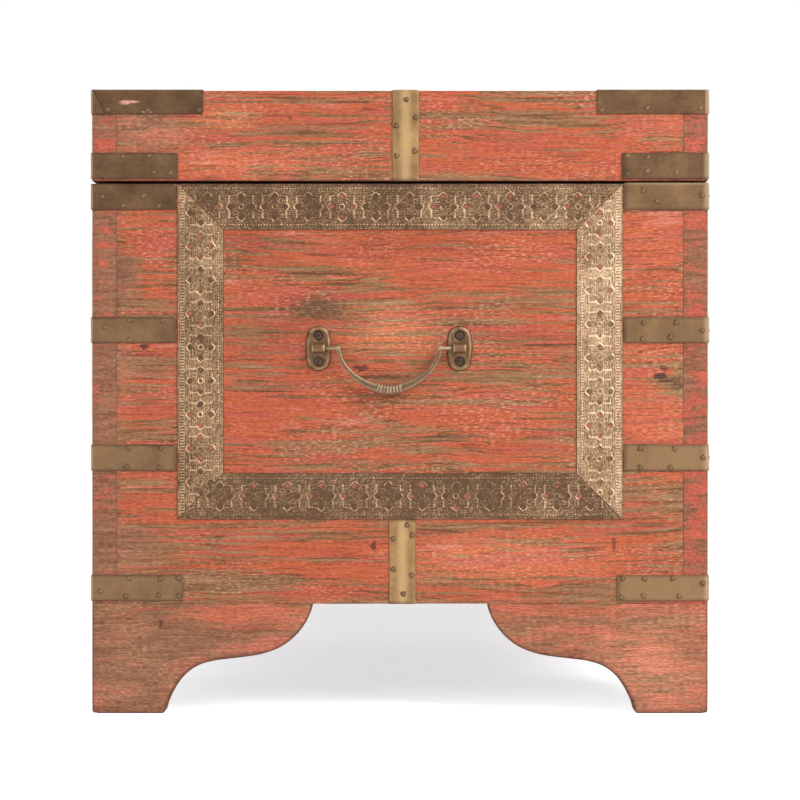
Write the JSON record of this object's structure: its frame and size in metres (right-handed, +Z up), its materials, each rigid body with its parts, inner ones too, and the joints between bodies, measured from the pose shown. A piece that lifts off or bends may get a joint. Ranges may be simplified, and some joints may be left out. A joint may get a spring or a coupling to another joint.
{
  "type": "damchiya chest",
  "caption": "Low painted wooden chest on ogee bracket feet, bound in brass straps and embossed frames, with a hinged lid, a slotted lid stay and drop handles on the ends.",
  "frame": {"origin": "centre of the footprint, on the floor under the soles of the feet", "axes": "+Z up; X along the chest's length; the front faces -Y, so +X is the end on the right of someone who stands before it"},
  "size_m": [0.9182, 0.4586, 0.4559],
  "materials": {
    "painted_body_wood": "worn coral red paint over brown wood",
    "painted_lid_wood": "worn coral red paint over brown wood",
    "painted_foot_wood": "worn coral red paint over brown wood",
    "bare_wood": "bare, aged",
    "antique_brass_strap": "antique, dull",
    "centre_strap_brass": "brushed, worn bright",
    "embossed_brass": "embossed, aged, traces of red paint",
    "nail_brass": "domed, dull",
    "cast_handle_brass": "cast, dark in the hollows",
    "turned_handle_brass": "turned, worn bright on the rings",
    "hinge_brass": "dull",
    "screw_steel": "aged",
    "stay_steel": "dark, aged"
  },
  "bodies": {
    "chest_body": {"front_wall_planks": "painted_body_wood", "back_wall_planks": "painted_body_wood", "right_end_planks": "painted_body_wood", "left_end_planks": "painted_body_wood", "floor_boards": "bare_wood", "floor_cleats": "bare_wood", "foot_front_right_side": "painted_foot_wood", "foot_front_right_end": "painted_foot_wood", "foot_front_left_side": "painted_foot_wood", "foot_front_left_end": "painted_foot_wood", "foot_back_right_side": "painted_foot_wood", "foot_back_right_end": "painted_foot_wood", "foot_back_left_side": "painted_foot_wood", "foot_back_left_end": "painted_foot_wood", "foot_glue_blocks": "bare_wood", "body_straps_front_right": "antique_brass_strap", "body_straps_front_left": "antique_brass_strap", "body_straps_back_right": "antique_brass_strap", "body_straps_back_left": "antique_brass_strap", "body_centre_straps": "centre_strap_brass", "right_end_brass_frame": "embossed_brass", "left_end_brass_frame": "embossed_brass", "front_brass_frame": "embossed_brass", "body_strap_nails": "nail_brass", "right_handle_plates": "cast_handle_brass", "left_handle_plates": "cast_handle_brass", "right_handle_screws": "screw_steel", "left_handle_screws": "screw_steel", "hinge_body_leaves": "hinge_brass", "hinge_pins": "hinge_brass", "body_screws": "screw_steel", "stay_body_stud": "stay_steel"},
    "lid": {"lid_front_rail": "painted_lid_wood", "lid_back_rail": "painted_lid_wood", "lid_right_rail": "painted_lid_wood", "lid_left_rail": "painted_lid_wood", "lid_top_planks": "painted_lid_wood", "lid_battens": "bare_wood", "lid_corner_straps": "antique_brass_strap", "lid_corner_caps": "antique_brass_strap", "lid_centre_straps": "centre_strap_brass", "lid_strap_nails": "nail_brass", "hinge_lid_leaves": "hinge_brass", "lid_screws": "screw_steel", "stay_lid_bracket": "stay_steel", "stay_rivet": "stay_steel"},
    "stay_arm": {"stay_arm": "stay_steel"},
    "right_bail": {"right_handle_bail": "turned_handle_brass"},
    "left_bail": {"left_handle_bail": "turned_handle_brass"}
  },
  "joints": [
    {"name": "lid_hinge", "type": "hinge", "parent": "chest_body", "child": "lid", "pos_m": [0, 0.2285, 0.388], "axis": [-1, 0, 0], "range_deg": [0, 95]},
    {"name": "stay_pivot", "type": "hinge", "parent": "lid", "child": "stay_arm", "pos_m": [0.4275, 0.09057, 0.412], "axis": [1, 0, 0], "range_deg": [0, 47.5]},
    {"name": "right_bail_swing", "type": "hinge", "parent": "chest_body", "child": "right_bail", "pos_m": [0.4554, 0.008, 0.26666], "axis": [0, -1, 0], "range_deg": [0, 180]},
    {"name": "left_bail_swing", "type": "hinge", "parent": "chest_body", "child": "left_bail", "pos_m": [-0.4554, 0.008, 0.26666], "axis": [0, 1, 0], "range_deg": [0, 180]}
  ],
  "couplings": [
    {"joint": "stay_pivot", "follows": "lid_hinge", "ratio": 0.5}
  ]
}
